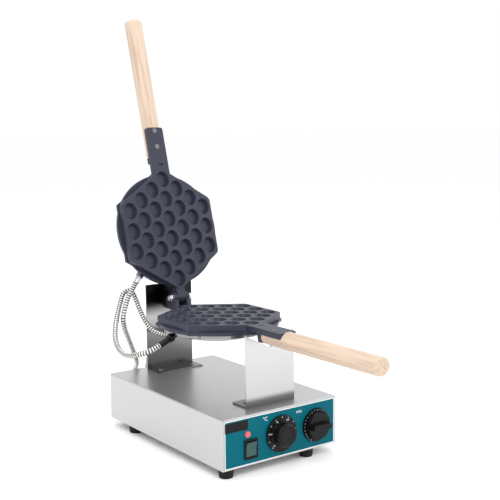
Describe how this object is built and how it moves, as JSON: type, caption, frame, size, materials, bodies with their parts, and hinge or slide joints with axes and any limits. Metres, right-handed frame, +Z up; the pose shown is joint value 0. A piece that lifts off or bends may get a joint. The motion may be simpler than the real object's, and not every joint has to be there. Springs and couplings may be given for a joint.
{
  "type": "rotating bubble waffle maker",
  "caption": "Electric bubble waffle iron: two hinged round pans with egg-shaped cells and wooden handles, turning on a shaft over a steel control box with dials",
  "frame": {"origin": "on the table, under the middle of the control box", "axes": "+X right and +Y to the rear as seen from the front panel, +Z up; lid open at rest"},
  "size_m": [0.2759, 0.6905, 0.745],
  "materials": {
    "steel": "brushed",
    "bright": "polished",
    "cast": "dark non-stick coat on cast aluminium",
    "dome": "spun, satin",
    "wood": "pale, varnished",
    "black": "satin",
    "rubber": "matt",
    "teal": "printed film",
    "green": "clear green",
    "amber": "clear amber",
    "brass": "turned",
    "white": "moulded"
  },
  "bodies": {
    "base": {"housing": "steel", "bottom_plate": "steel", "rubber_feet": "rubber", "foot_screws": "steel", "front_panel": "steel", "control_overlay": "teal", "rear_panel": "steel", "rear_conduit_glands": "bright", "mains_gland": "black", "front_bracket": "steel", "rear_bracket": "steel", "bracket_screws": "bright", "rear_bush": "brass", "bush_nut": "bright", "bracket_grommet": "rubber", "thermostat_body": "white", "timer_body": "white", "pilot_lamp": "amber", "switch_body": "black", "terminal_block": "white", "lower_conduit": "bright", "upper_conduit": "bright"},
    "rotor": {"lower_pan": "cast", "lower_cover": "dome", "lower_cover_screws": "bright", "lower_heater": "steel", "lower_gland": "bright", "lower_handle": "wood", "lower_handle_screws": "bright", "hinge_pin": "steel", "hinge_nuts": "bright", "rotor_shaft": "steel", "shaft_nut": "bright"},
    "lid": {"upper_pan": "cast", "upper_cover": "dome", "upper_cover_screws": "bright", "upper_heater": "steel", "upper_gland": "bright", "upper_handle": "wood", "upper_handle_screws": "bright"},
    "thermostat": {"thermostat_knob": "black", "thermostat_spindle": "steel"},
    "timer": {"timer_knob": "black", "timer_spindle": "steel"},
    "rocker": {"switch_rocker": "green"}
  },
  "joints": [
    {"name": "rotor_turn", "type": "hinge", "parent": "base", "child": "rotor", "pos_m": [0, 0.15, 0.224], "axis": [0, 1, 0], "range_deg": [0, 90]},
    {"name": "lid_hinge", "type": "hinge", "parent": "rotor", "child": "lid", "pos_m": [0, 0.1191, 0.235], "axis": [1, 0, 0], "range_deg": [0, 106]},
    {"name": "thermostat_turn", "type": "hinge", "parent": "base", "child": "thermostat", "pos_m": [-0.002, -0.19, 0.055], "axis": [0, 1, 0], "range_deg": [0, 270]},
    {"name": "timer_turn", "type": "hinge", "parent": "base", "child": "timer", "pos_m": [0.071, -0.19, 0.055], "axis": [0, 1, 0], "range_deg": [0, 300]},
    {"name": "rocker_tilt", "type": "hinge", "parent": "base", "child": "rocker", "pos_m": [-0.062, -0.178, 0.042], "axis": [-1, 0, 0], "range_deg": [0, 8]}
  ]
}
